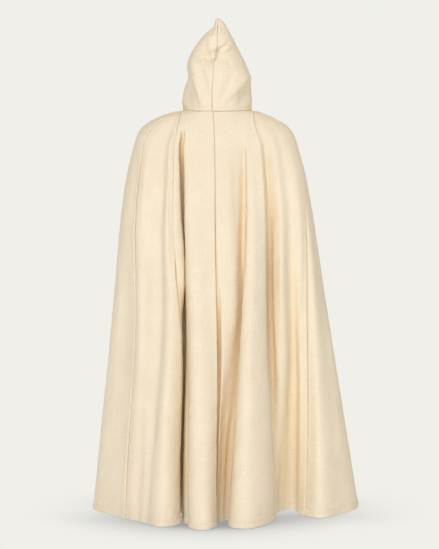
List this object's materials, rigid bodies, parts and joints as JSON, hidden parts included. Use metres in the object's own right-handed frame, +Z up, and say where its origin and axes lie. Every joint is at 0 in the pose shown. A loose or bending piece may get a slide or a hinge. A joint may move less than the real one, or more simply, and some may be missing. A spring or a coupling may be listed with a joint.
{
  "type": "hooded cloak",
  "caption": "Full-length hooded cloak in plain thick cream cloth, shown worn and hollow, open down the front and buttoned at the throat.",
  "frame": {"origin": "the middle of the neck opening, level with the neck seam at the sides, where the wearer's neck and shoulders hold the cloak up", "axes": "+Z up along the wearer's back to the hood's tip, -Y the way the wearer faces, +X the wearer's left"},
  "size_m": [0.9471, 0.733, 1.7372],
  "materials": {
    "cloth": "thick plain natural cream cloth, brushed and matt",
    "button": "plain turned brown wood, satin"
  },
  "bodies": {
    "root": {"back_left": "cloth", "back_right": "cloth", "side_left": "cloth", "side_right": "cloth", "front_left": "cloth", "front_right": "cloth", "hood_left": "cloth", "hood_right": "cloth", "neck_strap": "cloth", "neck_button": "button"}
  },
  "joints": []
}
